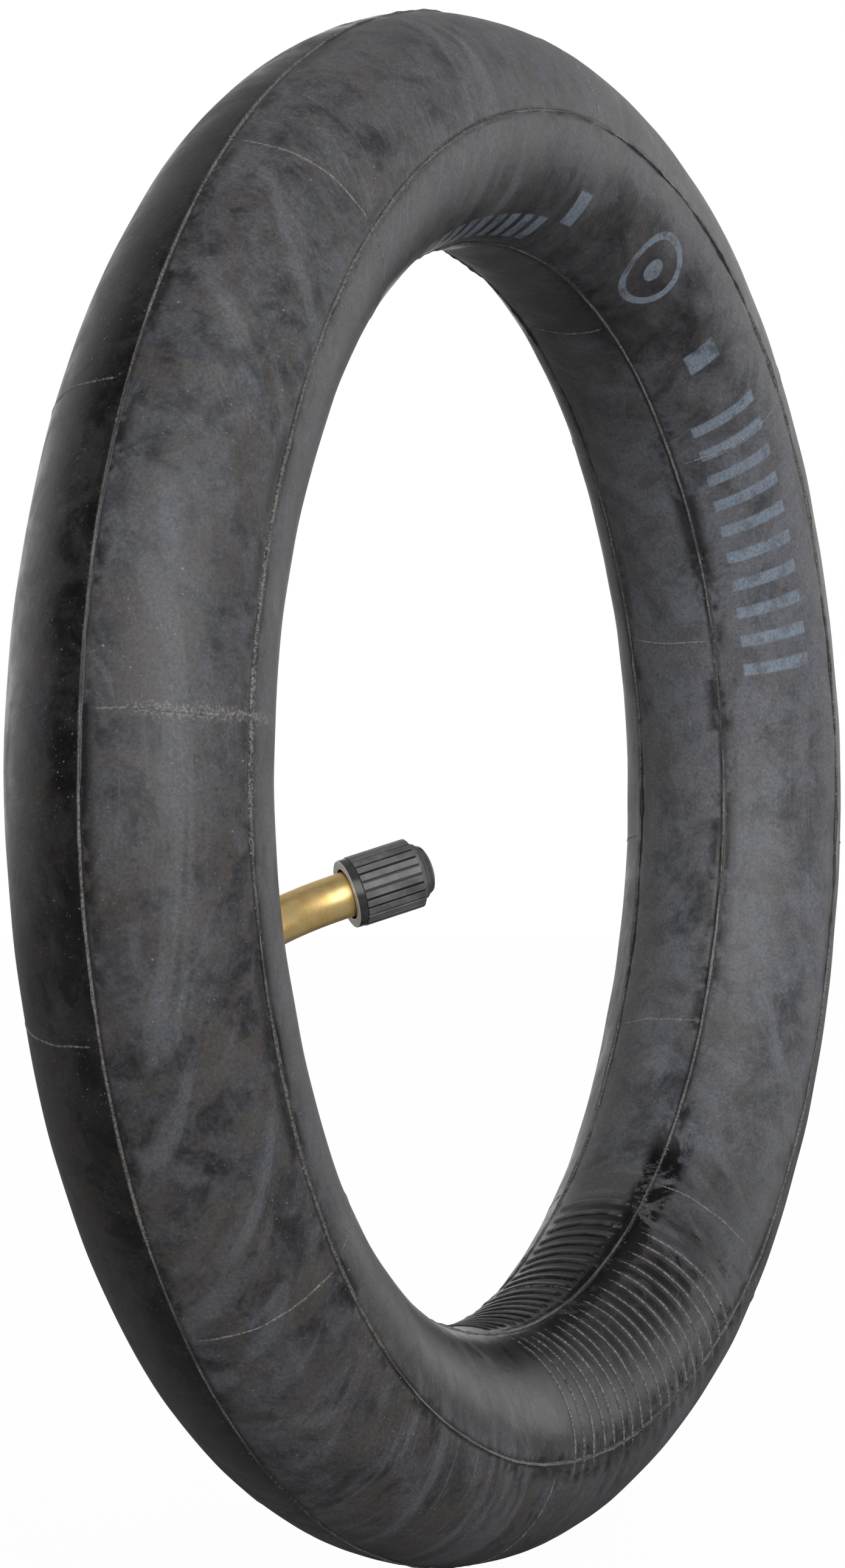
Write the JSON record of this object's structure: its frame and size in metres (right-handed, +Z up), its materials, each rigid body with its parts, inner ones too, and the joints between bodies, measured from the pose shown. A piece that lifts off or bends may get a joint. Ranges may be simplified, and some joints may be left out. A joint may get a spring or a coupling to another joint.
{
  "type": "bicycle inner tube",
  "caption": "Moulded rubber ring, hollow and round in section, for a small tyre, with a bent brass valve stem, a spring-loaded valve core and a ribbed plastic dust cap.",
  "frame": {"origin": "centre of the ring", "axes": "+Y along the ring's axis, out of its back; +Z up; +X to the right seen from the front, where the valve's tip leans out"},
  "size_m": [0.25, 0.0382, 0.25],
  "materials": {
    "tube_rubber": "satin, with talc dust",
    "pad_rubber": "satin",
    "stem_brass": "bright, lightly tarnished",
    "core_brass": "turned",
    "gasket_red": "matte",
    "seal_rubber": "matte",
    "spring_steel": "drawn wire",
    "cap_plastic": "satin"
  },
  "bodies": {
    "tube": {"tube_body": "tube_rubber", "valve_base_pad": "pad_rubber", "valve_stem": "stem_brass", "core_plug": "core_brass", "core_barrel": "core_brass", "core_gasket": "gasket_red", "core_spring": "spring_steel"},
    "pin_set": {"core_pin": "core_brass", "core_seat_cup": "core_brass", "core_seat_seal": "seal_rubber"},
    "cap_liner": {"cap_seal": "seal_rubber"},
    "cap": {"cap_shell": "cap_plastic"}
  },
  "joints": [
    {"name": "pin_press", "type": "slide", "parent": "tube", "child": "pin_set", "axis": [-0.6632, 0.6895, -0.2913], "range_m": [0, 0.0012], "stiffness_N_per_m": 1500, "springref_m": -0.0008, "deforming": ["core_spring"]},
    {"name": "cap_lift", "type": "slide", "parent": "tube", "child": "cap_liner", "axis": [0.6632, -0.6895, 0.2913], "range_m": [0, 0.00715]},
    {"name": "cap_turn", "type": "hinge", "parent": "cap_liner", "child": "cap", "pos_m": [-0.04928, -0.01469, -0.01318], "axis": [0.6632, -0.6895, 0.2913], "range_deg": [0, 3250]}
  ],
  "couplings": [
    {"joint": "cap_turn", "follows": "cap_lift", "rad_per_m": 7913.3}
  ]
}
